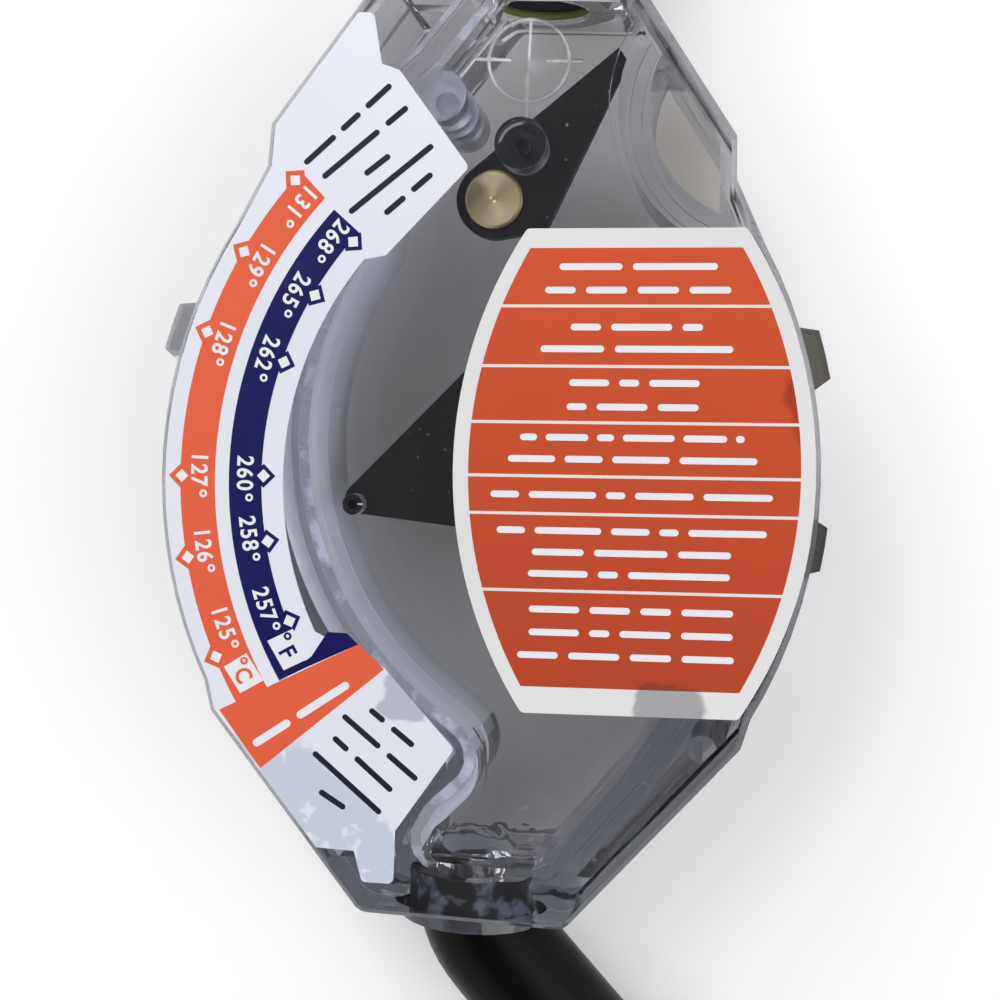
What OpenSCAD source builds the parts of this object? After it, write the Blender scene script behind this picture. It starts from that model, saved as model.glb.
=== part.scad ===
// Antifreeze hydrometer: a flat clear tester with a squeeze bulb on top, a dial with a float
// pointer, a plumb pointer over a target mark, and a suction hose below.
// It lies on its rear face. X runs across, Y up the body to the bulb, Z out of the dial face.
// The origin is on the rear face, on the body's centre line, level with the float's pivot.

/* [Body] */
// Width across the two curved sides
body_w = 90; // [84:1:110]
// Depth from the rear face to the dial face
body_depth = 28; // [26:1:36]
// Top edge above the float's pivot
body_top = 70; // [68:1:84]
// Bottom edge below the float's pivot
body_bottom = 60.5; // [58:0.5:70]
// Thickness of the front and rear plates
plate_t = 2; // [1.5:0.1:3]
// Thickness of the wall round the outside
rim_t = 2.2; // [1.6:0.1:3]
// Bevel along the edge of both outer faces
edge_bevel = 0.7; // [0.4:0.1:1.5]
// Half-width of the top edge
top_half_w = 14; // [14:0.5:18]
// Half-width of the bottom edge
bottom_half_w = 13; // [12:0.5:16]
// Upper shoulders, in from the sides
shoulder_in = 13.2; // [10:0.2:16]
// Stand-out of the four side lugs
lug_out = 2.3; // [1:0.1:3]

/* [Chamber] */
// Thickness of the wall round the fluid chamber
chamber_wall = 4.2; // [3.6:0.1:5]
// Width of the ledge where that wall meets the dial face
ledge_w = 1.2; // [0.6:0.1:1.6]
// Width of the weld tongue on the rear half of that wall
tongue_w = 1.6; // [1:0.1:2]
// Height of the weld tongue
tongue_h = 1.3; // [0.8:0.1:2]
// Gap left between the two halves by the weld
weld_gap = 0.1; // [0.05:0.05:0.2]

/* [Dial] */
// Float pivot and dial centre, right of the centre line
dial_x = 19.5; // [16:0.5:22]
// Plain width of face inside the printed scales, out to the side
scale_band = 17.5; // [15:0.5:20]
// Thickness of both label films
film_t = 0.15; // [0.1:0.05:0.3]
// Half-height of the instruction label
barrel_half_h = 32.5; // [26:0.5:34]
// Slant of the instruction label, in degrees
barrel_turn = 2.2; // [0:0.1:4]
// Half-width of the instruction label at its ends
barrel_end_w = 14.5; // [12:0.5:16]
// Half-width of the instruction label in the middle
barrel_mid_w = 24.2; // [18:0.2:24.5]
// Radius of the target ring on the dial face
target_r = 5.4; // [4:0.2:6]

/* [Pointers] */
// Reach of the float pointer, short of the dial wall's radius
float_gap = 4.4; // [4.2:0.1:9]
// Thickness of the float pointer's vane
float_t = 8; // [5:0.5:9]
// Radius of the float pointer's hub
float_hub_r = 5.5; // [4.5:0.1:7]
// Diameter of the trim pin in the float pointer's tip
trim_d = 3; // [2:0.1:3.4]
// Thickness of the plumb pointer's blade
plumb_t = 3; // [2:0.1:4]
// Reach of the plumb pointer, pivot to tip
plumb_reach = 18.8; // [15:0.2:19]
// Reach of the plumb pointer's tail, pivot to the middle of the weight
tail_reach = 7.93; // [7.6:0.01:9]
// Diameter of the brass weight in the plumb pointer
weight_d = 8; // [6:0.1:8.5]
// Black rim round the brass weight
weight_rim = 1.3; // [0.8:0.1:2]
// Diameter of both axles
axle_d = 2; // [1.5:0.1:3]
// Diameter of the posts that hold the axles
post_d = 7; // [5:0.1:8]

/* [Bulb and hose] */
// Diameter of the bulb's neck
neck_d = 18.5; // [16:0.5:19]
// Neck, right of the centre line
neck_x = 3.5; // [2:0.5:4]
// Largest diameter of the bulb
bulb_d = 28; // [24:0.5:28]
// Length of the bulb above the body
bulb_len = 66; // [50:1:80]
// Thickness of the bulb's rubber
bulb_wall = 2.5; // [1.5:0.1:3]
// Thickness of the ring under the neck
seal_t = 1.3; // [1:0.1:2]
// Outer diameter of the hose
hose_d = 17; // [14:0.5:17]
// Bore of the hose
hose_bore = 10; // [7:0.5:11]

/* [Fits] */
// Radial clearance of a pointer on its axle
run_clear = 0.05; // [0.03:0.01:0.08]
// Clearance along an axle at each face of a pointer
end_clear = 0.3; // [0.2:0.05:0.5]
// Clearance round the rubber pieces and the locating pegs
slip_clear = 0.15; // [0.1:0.05:0.3]
// Film of adhesive under the labels
glue_t = 0.02; // [0.01:0.01:0.05]

/* [Hidden] */
$fn = 64;
eps = 0.01;
over = 1;
far = 200;
mid_z = body_depth / 2;
front_in = body_depth - plate_t;
side_r = body_w / 2 + dial_x;
pivot = [dial_x, 0];

// Outline, right half from the bottom edge up, with rounded corners at both ends
corner = 2.5;
corner_steps = 5;
low_y = -30;
low_h = 4.1;
low_step = 1.1;
up_y = 33;
shoulder_y = 41.3;
shoulder_h = 5.7;
shoulder_step = 0.3;
shoulder_w = body_w / 2 - shoulder_in;
side_steps = 16;
low_w = side_r * cos(asin(low_y / side_r)) - dial_x;
low_corner = [low_w - low_step, low_y - low_h];
high_corner = [shoulder_w - shoulder_step, shoulder_y + shoulder_h];
bottom_c = [bottom_half_w, -body_bottom + corner];
top_c = [top_half_w, body_top - corner];
right_half = concat(
    arc(bottom_c, corner, -90, touch(bottom_c, corner, low_corner, -1), corner_steps),
    [low_corner],
    arc([-dial_x, 0], side_r, asin(low_y / side_r), asin(up_y / side_r), side_steps),
    [[shoulder_w, shoulder_y], high_corner],
    arc(top_c, corner, touch(top_c, corner, high_corner, 1), 90, corner_steps)
);
outline = concat(right_half, mirrored(right_half));

// Side lugs, in degrees along the side's arc
lug_taper = 2;
front_lug = [11.6, 21.2];
rear_lug = [-11.2, -1.9];
front_lug_end = 1;
rear_lug_end = 3;

// Fluid chamber
dial_wall_r = side_r - scale_band;
wall_c = pivot + [1.1, 5.8];
wall_cover = 1.6;
wall_up = 146;
wall_down = 232;
chamber_r = dial_wall_r - wall_cover;
chamber_top = body_top - 4.2;
chamber_floor = -body_bottom + 7.3;
curl_c = [-6, chamber_floor + 13.4];
curl_r = 7.2;
curl_up = 54;
curl_down = -45;
throat_c = [neck_x + 32, body_top - 18.5];
throat_r = 20;
throat_end = 146;
chamber_soft = 1.5;
chamber_points = concat(
    [[neck_x + 14, chamber_top], [neck_x - 4.2, chamber_top]],
    [[neck_x - 12.2, body_top - 14.8], [neck_x - 19, body_top - 21]],
    arc(wall_c, chamber_r, wall_up, wall_down, 2 * side_steps),
    arc(curl_c, curl_r, curl_up, curl_down, side_steps),
    [[curl_c.x + 1.5, chamber_floor + 4.7], [curl_c.x - 1, chamber_floor]],
    [[10.1, chamber_floor], [20.8, chamber_floor + 13.7]],
    [[25.5, chamber_floor + 22], [29.7, chamber_floor + 29.2], [far, chamber_floor + 29.2]],
    [[far, throat_c.y - throat_r], [throat_c.x, throat_c.y - throat_r]],
    arc(throat_c, throat_r, 270, throat_end, side_steps)
);
ledge_h = 1.5;

// Posts and pegs
post_grip = 3;
guide_xy = [-8.5, body_top - 18.5];
guide_pin_d = 3;
peg_d = 3.8;
peg_xy = [low_w - 6.2, low_y - 4.6];

// Labels
face_z = body_depth + glue_t;
barrel_c = [dial_x + 0.7, 1.9];
barrel_sag = barrel_mid_w - barrel_end_w;
barrel_r = (pow(barrel_half_h, 2) + pow(barrel_sag, 2)) / (2 * barrel_sag);
label_in = 0.1;
label_corner = 0.8;
barrel_steps = 180;
print_up = 142;
print_down = 208;
print_end = pivot + dial_wall_r * [cos(print_up), sin(print_up)];
dial_cut = concat(
    [[-far, body_top - 8], [neck_x - 21.3, body_top - 8], [neck_x - 19.9, body_top - 14.8]],
    [[neck_x - 17.4, body_top - 15.6], [neck_x - 7.3, body_top - 28.3], print_end + [2.9, 0.6]],
    arc(pivot, dial_wall_r, print_up, print_down, 2 * side_steps),
    [[curl_c.x - 6.1, curl_c.y + 13.4], [curl_c.x + 4.1, curl_c.y + 3]],
    [[curl_c.x - 3.5, chamber_floor + 4.5], [curl_c.x - 3.4, chamber_floor - 2.8]],
    [[curl_c.x - 7.8, chamber_floor - 2.9], [curl_c.x - 9.1, chamber_floor + 1.3]],
    [[-far, chamber_floor + 3]]
);

// Target mark
target_xy = [neck_x, body_top - 13.9];
target_line = 0.5;
target_deep = 0.3;
target_up = 5.4;
target_down = 7.7;
target_arm = [2.4, 7.2];

// Float pointer, drawn about its pivot with its tip at the left
float_z = mid_z - 6;
float_top = float_z + float_t;
float_boss = 1;
float_boss_d = 2 * float_hub_r - 2;
float_tip_r = 2.2;
float_corner_r = 1;
float_tip_low = 4;
float_reach = chamber_r - float_gap;
float_tip = [-sqrt(pow(float_reach - float_tip_r, 2) - pow(float_tip_low, 2)), -float_tip_low];
float_high = float_reach * [-0.524, 0.402];
float_low = float_reach * [-0.476, -0.161];
trim_at = float_tip + [-0.5, -0.8];
trim_deep = 4;
trim_up = 2.6;
trim_bore = 1.4;

// Plumb pointer, drawn about its pivot as it lies
plumb_xy = [neck_x - 0.8, body_top - 24.6];
plumb_z = float_top + 1.5;
plumb_top = plumb_z + plumb_t;
weight_at = tail_reach * [-0.492, -0.87];
weight_proud = 0.8;
tail_r = weight_d / 2 + weight_rim;
plumb_hub_r = 3.2;
blade_tip = plumb_reach * [[0.649, 0.761], [0.718, 0.66]];
blade_right = tail_reach * [0.429, -1.362];

// Neck, bulb and seal
seal_seat = 0.8;
neck_in = chamber_top + seal_seat;
bulb_start = neck_in + seal_t;
neck_bore = neck_d - 2 * bulb_wall;
neck_collar = 6;
neck_free = neck_collar + 2;
bulb_steps = 72;
bulb_flare = 9;
bulb_top = body_top + bulb_len;

// Hose route from its seat in the body to its free end: X, Y from the seat, and how much of
// the way down to the surface it has come
hose_seat = chamber_floor - 2.7;
hose_rest_z = hose_d / 2 + 0.1;
hose_plan = [
    [0, 0, 0], [0, -3, 0], [0.6, -5.8, 0], [2.1, -9.2, 0], [5, -12.8, 0],
    [13, -21.3, 0.1], [23, -32, 0.4], [33, -43, 0.7], [42, -54, 0.9],
    [50, -66, 1], [56, -79, 1], [60, -93, 1], [61.5, -108, 1],
    [61, -123, 1], [58.5, -138, 1], [54, -152, 1]
];
hose_route = [for (p = hose_plan)
    [p.x, hose_seat + p.y, mid_z + p.z * (hose_rest_z - mid_z)]];
hose_sides = 12;
socket_sides = 36;
collar_wall = 2;
collar_out = 2.7;
inlet_d = hose_bore;

front_shell();
rear_shell();
dial_label();
instruction_label();
float_pointer();
float_trim_pin();
float_axle();
plumb_pointer();
plumb_weight();
plumb_axle();
neck_seal();
squeeze_bulb();
hose();

// Points along an arc of a circle
function arc(c, r, from, to, steps) =
    [for (i = [0:steps]) let (a = from + (to - from) * i / steps) c + r * [cos(a), sin(a)]];

// Angle on a circle where a line from a point touches it, on one side or the other
function touch(c, r, p, side) =
    atan2(p.y - c.y, p.x - c.x) + side * acos(r / norm(p - c));

// A list of points mirrored in X, in reverse order
function mirrored(points) =
    [for (i = [len(points) - 1:-1:0]) [-points[i].x, points[i].y]];

function unit(v) = v / norm(v);

// A closed anticlockwise outline moved inwards by d, with its corners kept sharp
function moved_in(points, d) =
    let (n = len(points))
    [for (i = [0:n - 1])
        let (
            a = unit(points[i] - points[(i + n - 1) % n]),
            b = unit(points[(i + 1) % n] - points[i]),
            na = [-a.y, a.x],
            nb = [-b.y, b.x]
        )
        points[i] + d * (na + nb) / (1 + na * nb)];

// A ring of points round one place of a route, square to the route there
function route_ring(route, i, r, sides) =
    let (
        last = len(route) - 1,
        along = unit(route[min(i + 1, last)] - route[max(i - 1, 0)]),
        across = unit(cross([0, 0, 1], along)),
        up = cross(along, across)
    )
    [for (k = [0:sides - 1])
        route[i] + r * (cos(360 * k / sides) * across + sin(360 * k / sides) * up)];

// Solid that follows a route with a round section
module swept(route, r, sides) {
    rings = len(route);
    points = [for (i = [0:rings - 1]) each route_ring(route, i, r, sides)];
    walls = [for (i = [0:rings - 2], k = [0:sides - 1])
        let (next = (k + 1) % sides)
        [i * sides + k, (i + 1) * sides + k, (i + 1) * sides + next, i * sides + next]];
    first = [for (k = [0:sides - 1]) k];
    last = [for (k = [sides - 1:-1:0]) (rings - 1) * sides + k];
    polyhedron(points, concat(walls, [first, last]));
}

// Tube that follows a route, open at both ends
module swept_tube(route, r, bore_r, sides) {
    rings = len(route);
    outer = [for (i = [0:rings - 1]) each route_ring(route, i, r, sides)];
    inner = [for (i = [0:rings - 1]) each route_ring(route, i, bore_r, sides)];
    count = rings * sides;
    end = (rings - 1) * sides;
    faces = [for (k = [0:sides - 1])
        let (next = (k + 1) % sides)
        each concat(
            [for (i = [0:rings - 2]) each let (a = i * sides, b = a + sides) [
                [a + k, b + k, b + next, a + next],
                [count + a + next, count + b + next, count + b + k, count + a + k]
            ]],
            [[next, count + next, count + k, k]],
            [[end + k, count + end + k, count + end + next, end + next]]
        )];
    polyhedron(concat(outer, inner), faces);
}

// Half of the body as one solid, from the weld out to its bevelled face
module blank(from, to) {
    n = len(outline);
    way = sign(to - from);
    rings = [[outline, from], [outline, to - way * edge_bevel],
        [moved_in(outline, edge_bevel), to]];
    points = [for (ring = rings, p = ring[0]) [p.x, p.y, ring[1]]];
    walls = [for (i = [0:1], k = [0:n - 1])
        let (next = (k + 1) % n)
        [i * n + k, (i + 1) * n + k, (i + 1) * n + next, i * n + next]];
    inner = [for (k = [0:n - 1]) k];
    outer = [for (k = [n - 1:-1:0]) 2 * n + k];
    faces = concat(walls, [inner, outer]);
    polyhedron(points, way > 0 ? faces : [for (f = faces) [for (k = [len(f) - 1:-1:0]) f[k]]]);
}

module outline_2d(inset = 0) {
    offset(delta = -inset) polygon(outline);
}

module chamber_2d() {
    intersection() {
        outline_2d(rim_t);
        offset(r = chamber_soft) offset(r = -2 * chamber_soft) offset(r = chamber_soft)
            polygon(chamber_points);
    }
}

// Hollows of one half outside the fluid chamber
module pockets_2d() {
    difference() {
        outline_2d(rim_t);
        offset(r = chamber_wall) chamber_2d();
        translate([-far, chamber_top]) square(2 * far);
        translate([-far, chamber_floor - 2 * far]) square(2 * far);
    }
}

// The band of the chamber wall where the halves are welded
module weld_2d(width) {
    intersection() {
        outline_2d(rim_t);
        difference() {
            offset(r = (chamber_wall + width) / 2) chamber_2d();
            offset(r = (chamber_wall - width) / 2) chamber_2d();
        }
    }
}

module layer(from, to) {
    translate([0, 0, from]) linear_extrude(to - from) children();
}

module lugs(span, from, to) {
    ends = [span[0] + lug_taper, span[1] - lug_taper];
    right = concat(
        arc([-dial_x, 0], side_r - rim_t, span[0], span[1], 2),
        arc([-dial_x, 0], side_r + lug_out, ends[1], ends[0], 2)
    );
    layer(from, to) {
        polygon(right);
        polygon(mirrored(right));
    }
}

module post(at, from, to, d = post_d) {
    translate([at.x, at.y, from]) cylinder(d = d, h = to - from);
}

// A rod along Y, for the bores of neck and hose
module rod_y(x, from, to, d) {
    translate([x, from, mid_z]) rotate([-90, 0, 0]) cylinder(d = d, h = to - from);
}

// What the neck, the seal, the hose and its inlet take out of both halves
module sockets() {
    rod_y(neck_x, neck_in, body_top + neck_collar + over, neck_d + 2 * slip_clear);
    rod_y(neck_x, chamber_top - over, neck_in + over, neck_bore);
    rod_y(0, hose_seat - over, chamber_floor + over, inlet_d);
    swept(hose_route, hose_d / 2 + slip_clear, socket_sides);
}

// Lips round the neck and round the hose's mouth
module collars() {
    rod_y(neck_x, chamber_top + over, body_top + neck_collar, neck_d + 2 * collar_wall);
    rod_y(0, -body_bottom - collar_out, chamber_floor - over, hose_d + 2 * collar_wall);
}

module target() {
    translate([target_xy.x, target_xy.y, body_depth - target_deep]) {
        difference() {
            cylinder(r = target_r + target_line / 2, h = over);
            translate([0, 0, -over]) cylinder(r = target_r - target_line / 2, h = 3 * over);
        }
        translate([-target_line / 2, -target_down, 0])
            cube([target_line, target_up + target_down, over]);
        for (side = [0, 1])
            mirror([side, 0, 0]) translate([target_arm[0], -target_line / 2, 0])
                cube([target_arm[1] - target_arm[0], target_line, over]);
    }
}

module front_shell() {
    seam = mid_z + weld_gap / 2;
    color([0.72, 0.72, 0.76, 0.35])
    difference() {
        union() {
            difference() {
                union() {
                    blank(seam, body_depth);
                    lugs(front_lug, seam, body_depth - front_lug_end);
                    intersection() {
                        collars();
                        translate([-far, -far, seam]) cube(2 * far);
                    }
                }
                layer(seam - over, front_in) pockets_2d();
                layer(seam - over, front_in - ledge_h) chamber_2d();
                layer(seam - over, front_in) offset(delta = -ledge_w) chamber_2d();
                layer(seam - over, mid_z + tongue_h + weld_gap)
                    weld_2d(tongue_w + 2 * weld_gap);
            }
            post(pivot, float_top + float_boss + end_clear, front_in + eps);
            post(plumb_xy, plumb_top + end_clear, front_in + eps);
            post(guide_xy, seam, front_in + eps);
            post(peg_xy, seam, front_in + eps, peg_d);
        }
        post(pivot, 0, float_top + float_boss + end_clear + post_grip, axle_d);
        post(plumb_xy, 0, plumb_top + end_clear + post_grip, axle_d);
        post(guide_xy, 0, mid_z + post_grip + slip_clear, guide_pin_d + 2 * slip_clear);
        sockets();
        target();
    }
}

module rear_shell() {
    seam = mid_z - weld_gap / 2;
    color([0.66, 0.66, 0.70, 0.35])
    difference() {
        union() {
            difference() {
                union() {
                    blank(seam, 0);
                    lugs(rear_lug, rear_lug_end, seam);
                    intersection() {
                        collars();
                        translate([-far, -far, seam - 2 * far]) cube(2 * far);
                    }
                    layer(seam - over, mid_z + tongue_h) weld_2d(tongue_w);
                }
                layer(plate_t, seam + over) pockets_2d();
                layer(plate_t, seam + over) chamber_2d();
            }
            post(pivot, plate_t - eps, float_z - float_boss - end_clear);
            post(plumb_xy, plate_t - eps, plumb_z - end_clear);
            post(guide_xy, plate_t - eps, seam);
            post(guide_xy, seam - over, mid_z + post_grip, guide_pin_d);
            post(peg_xy, plate_t - eps, seam, peg_d);
        }
        post(pivot, float_z - float_boss - end_clear - post_grip, far, axle_d);
        post(plumb_xy, plumb_z - end_clear - post_grip, far, axle_d);
        sockets();
    }
}

module dial_label() {
    color([0.95, 0.95, 0.97])
    layer(face_z, face_z + film_t)
        intersection() {
            outline_2d(edge_bevel + label_in);
            offset(r = label_corner) offset(r = -label_corner) polygon(dial_cut);
        }
}

module instruction_label() {
    inner_r = barrel_r - barrel_mid_w;
    color([0.86, 0.36, 0.22])
    layer(face_z, face_z + film_t)
        intersection() {
            outline_2d(edge_bevel);
            translate(barrel_c) rotate(barrel_turn)
                offset(r = label_corner) offset(delta = -label_corner) intersection() {
                    translate([-inner_r, 0]) circle(barrel_r, $fn = barrel_steps);
                    translate([inner_r, 0]) circle(barrel_r, $fn = barrel_steps);
                    square([far, 2 * barrel_half_h], center = true);
                }
        }
}

module float_vane_2d() {
    hull() {
        translate(float_tip) circle(float_tip_r);
        translate(float_high) circle(float_corner_r);
        translate(float_low) circle(float_corner_r);
    }
    hull() {
        circle(float_hub_r);
        translate(float_high) circle(float_corner_r);
        translate(float_low) circle(float_corner_r);
    }
}

module float_pointer() {
    color([0.09, 0.09, 0.10])
    translate([pivot.x, pivot.y, 0])
        difference() {
            union() {
                layer(float_z, float_top) float_vane_2d();
                post([0, 0], float_z - float_boss, float_top + float_boss, float_boss_d);
            }
            post([0, 0], 0, far, axle_d + 2 * run_clear);
            post(trim_at, float_top - trim_deep, far, trim_d);
        }
}

module float_trim_pin() {
    color([0.62, 0.63, 0.65])
    translate([pivot.x, pivot.y, 0])
        difference() {
            post(trim_at, float_top - trim_deep, float_top + trim_up, trim_d);
            post(trim_at, float_top, far, trim_bore);
        }
}

module float_axle() {
    color([0.70, 0.71, 0.73])
        post(pivot, float_z - float_boss - end_clear - post_grip,
            float_top + float_boss + end_clear + post_grip, axle_d);
}

module plumb_pointer() {
    color([0.11, 0.11, 0.10])
    translate([plumb_xy.x, plumb_xy.y, 0])
        difference() {
            layer(plumb_z, plumb_top) {
                hull() {
                    translate(weight_at) circle(tail_r);
                    polygon([blade_tip[0], blade_tip[1], blade_right]);
                }
                circle(plumb_hub_r);
            }
            post([0, 0], 0, far, axle_d + 2 * run_clear);
            post(weight_at, 0, far, weight_d);
        }
}

module plumb_weight() {
    color([0.78, 0.64, 0.40])
    translate([plumb_xy.x, plumb_xy.y, 0])
        post(weight_at, plumb_z - weight_proud, plumb_top + weight_proud, weight_d);
}

module plumb_axle() {
    color([0.70, 0.71, 0.73])
        post(plumb_xy, plumb_z - end_clear - post_grip, plumb_top + end_clear + post_grip, axle_d);
}

module neck_seal() {
    color([0.62, 0.66, 0.12])
        difference() {
            rod_y(neck_x, neck_in, bulb_start, neck_d);
            rod_y(neck_x, neck_in - over, bulb_start + over, neck_bore);
        }
}

// Half section of the bulb, from its neck up to its crown
function bulb_profile(inset) =
    let (
        r = bulb_d / 2,
        flare_y = body_top + neck_free + bulb_flare,
        crown_y = bulb_top - r
    )
    concat(
        [[neck_d / 2 - inset, bulb_start], [neck_d / 2 - inset, body_top + neck_free]],
        [[r - inset, flare_y + inset / 2]],
        arc([0, crown_y], r - inset, 0, 90, side_steps)
    );

module squeeze_bulb() {
    inner = bulb_profile(bulb_wall);
    section = concat(bulb_profile(0), [for (i = [len(inner) - 1:-1:0]) inner[i]]);
    color([0.10, 0.11, 0.09])
    translate([neck_x, 0, mid_z]) rotate([-90, 0, 0])
        rotate_extrude($fn = bulb_steps) polygon(section);
}

module hose() {
    color([0.08, 0.08, 0.09])
        swept_tube(hose_route, hose_d / 2, hose_bore / 2, hose_sides);
}
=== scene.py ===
import math

import bmesh
import bpy
import numpy as np
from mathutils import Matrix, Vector
from mathutils.geometry import convex_hull_2d


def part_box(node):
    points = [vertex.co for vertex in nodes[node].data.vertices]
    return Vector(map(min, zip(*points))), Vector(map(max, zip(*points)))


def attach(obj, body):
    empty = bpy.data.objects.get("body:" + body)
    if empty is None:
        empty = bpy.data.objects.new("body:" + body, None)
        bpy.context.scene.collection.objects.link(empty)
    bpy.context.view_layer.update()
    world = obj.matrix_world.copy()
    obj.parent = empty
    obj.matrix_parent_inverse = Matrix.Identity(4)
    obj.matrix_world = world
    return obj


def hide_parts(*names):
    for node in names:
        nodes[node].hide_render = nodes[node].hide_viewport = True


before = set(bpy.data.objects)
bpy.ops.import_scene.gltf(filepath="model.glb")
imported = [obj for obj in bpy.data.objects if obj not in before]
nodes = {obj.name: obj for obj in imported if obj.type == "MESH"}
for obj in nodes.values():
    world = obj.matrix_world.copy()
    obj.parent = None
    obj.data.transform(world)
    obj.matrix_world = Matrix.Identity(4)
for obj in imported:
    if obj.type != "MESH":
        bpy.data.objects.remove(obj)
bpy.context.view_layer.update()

# Camera
# Looks down on the dial from a hand's height, a little from the right, with the bulb and the
# free end of the hose past the top and bottom of the picture.
camera_at = (0.030575, 0.006350, 0.241500)
camera_turn_deg = (-2.0, 7.57, 2.95)
camera_data = bpy.data.cameras.new("camera")
camera_data.lens = 57.6
camera_data.sensor_width = 36.0
camera_data.clip_start = 0.005


def in_scene(name, data):
    """A new object for some data, linked into the scene."""
    piece = bpy.data.objects.new(name, data)
    bpy.context.scene.collection.objects.link(piece)
    return piece


camera = in_scene("camera", camera_data)
camera.location = camera_at
camera.rotation_euler = [math.radians(a) for a in camera_turn_deg]
bpy.context.scene.camera = camera
bpy.context.scene.view_settings.view_transform = "Standard"

# Rear shell
# The lower of two clear moulded halves: flat back, outer rim, the curved wall of the fluid
# chamber, axle posts and two side lugs. The plastic is slightly smoky, and darker at the foot.
MM = 0.001
smoke = (0.71, 0.70, 0.695)
smoke_lamps = (0.60, 0.60, 0.62)
shell_edge = 0.22 * MM
seam_z = 14 * MM
mouth_at = (0, -58 * MM, 24 * MM)


def add_node(tree, kind, inputs=None, **settings):
    """A new node in a tree. Each of its inputs is a plain value or another node's socket.

    A colour is three numbers, and gets its alpha here."""
    node = tree.nodes.new(kind)
    for key, value in settings.items():
        setattr(node, key, value)
    for key, value in (inputs or {}).items():
        if isinstance(value, bpy.types.NodeSocket):
            tree.links.new(value, node.inputs[key])
        else:
            colour = node.inputs[key].type == "RGBA"
            node.inputs[key].default_value = (*value, 1) if colour else value
    return node


def start_group(name, vectors, numbers):
    """A new shader group with a Mask output; gives it, its inputs and the Object coordinates."""
    group = bpy.data.node_groups.new(name, "ShaderNodeTree")
    for keys, kind in ((vectors, "NodeSocketVector"), (numbers, "NodeSocketFloat")):
        for key in keys:
            group.interface.new_socket(key, in_out="INPUT", socket_type=kind)
    group.interface.new_socket("Mask", in_out="OUTPUT", socket_type="NodeSocketFloat")
    come = add_node(group, "NodeGroupInput")
    place = add_node(group, "ShaderNodeTexCoord")
    return group, come.outputs, place.outputs["Object"]


def soft_cut(group, come, value):
    """A value cut softly between two levels, which are inputs of the group."""
    levels = {"Value": value, "From Min": come["From"], "From Max": come["To"]}
    cut = add_node(group, "ShaderNodeMapRange", levels, interpolation_type="SMOOTHSTEP")
    return cut.outputs["Result"]


def noise_group(name, *levels):
    """Shader group: noise on Object coordinates, as it is or cut between two levels."""
    group, come, place = start_group(name, [], ["Scale", "Detail", *levels])
    noise = add_node(group, "ShaderNodeTexNoise",
                     {"Vector": place, "Scale": come["Scale"], "Detail": come["Detail"]})
    found = noise.outputs["Fac"]
    add_node(group, "NodeGroupOutput", {"Mask": soft_cut(group, come, found) if levels else found})
    return group


grain = noise_group("grain")
blotches = noise_group("blotches", "From", "To")
ragged_scale, ragged_by = 230, 6 * MM


def reach_group(name, kind, key):
    """Shader group: a mask from a measure of Object coordinates, ragged between two levels."""
    group, come, place = start_group(name, [key], ["From", "To"])
    measure = add_node(group, "ShaderNodeVectorMath", {0: place, 1: come[key]}, operation=kind)
    noise = add_node(group, "ShaderNodeTexNoise", {"Vector": place, "Scale": ragged_scale})
    ragged = add_node(
        group, "ShaderNodeMath",
        {0: noise.outputs["Fac"], 1: ragged_by, 2: measure.outputs["Value"]}, operation="MULTIPLY_ADD")
    add_node(group, "NodeGroupOutput", {"Mask": soft_cut(group, come, ragged.outputs[0])})
    return group


past_line = reach_group("past_line", "DOT_PRODUCT", "Way")
spot = reach_group("spot", "DISTANCE", "Centre")


def place_group(material, group, **values):
    """A node of a shared group in a material, with its own values; gives its mask."""
    return add_node(material.node_tree, "ShaderNodeGroup", values, node_tree=group).outputs[0]


def joined(owner, operation, *values):
    """Values of a material or the world put together, one after the other."""
    found = values[0]
    for value in values[1:]:
        node = add_node(owner.node_tree, "ShaderNodeMath", {0: found, 1: value}, operation=operation)
        found = node.outputs[0]
    return found


def spread(material, mask, low, high):
    """A number that runs from low to high with a mask."""
    return add_node(material.node_tree, "ShaderNodeMapRange",
                    {"Value": mask, "To Min": low, "To Max": high}).outputs["Result"]


def blended(material, mask, low, high):
    """A colour that runs from low to high with a mask; either may be another socket."""
    return add_node(material.node_tree, "ShaderNodeMix", {0: mask, 6: low, 7: high},
                    data_type="RGBA").outputs[2]


def shader_of(material):
    """The Principled shader that a material starts with."""
    return material.node_tree.nodes["Principled BSDF"]


def finish_material(name, roughness, **values):
    """A new material, with plain values set on the sockets of its shader."""
    material = bpy.data.materials.new(name)
    material.use_nodes = True
    inputs = shader_of(material).inputs
    inputs["Roughness"].default_value = roughness
    for key, value in values.items():
        inputs[key.replace("_", " ")].default_value = value
    return material


def feed(material, socket, value):
    """Links a value to a socket of a material's shader."""
    material.node_tree.links.new(value, shader_of(material).inputs[socket])


def painted(material, mask, low, high):
    """Gives a material a colour that runs from low to high with a mask."""
    feed(material, "Base Color", blended(material, mask, low, high))


def varied(material, socket, mask, low, high):
    """Gives a material's shader a number that runs from low to high with a mask."""
    feed(material, socket, spread(material, mask, low, high))


def bumped(material, height, strength, distance):
    """Surface relief of a material from a height, in metres at full strength."""
    bump = add_node(material.node_tree, "ShaderNodeBump",
                    {"Height": height, "Strength": strength, "Distance": distance})
    feed(material, "Normal", bump.outputs["Normal"])


def surface_mix(material, share, other):
    """Ends a material with its own shader and another one, the other by a share."""
    tree = material.node_tree
    either = add_node(tree, "ShaderNodeMixShader",
                      {0: share, 1: shader_of(material).outputs[0], 2: other.outputs[0]})
    tree.links.new(either.outputs[0], tree.nodes["Material Output"].inputs["Surface"])


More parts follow.
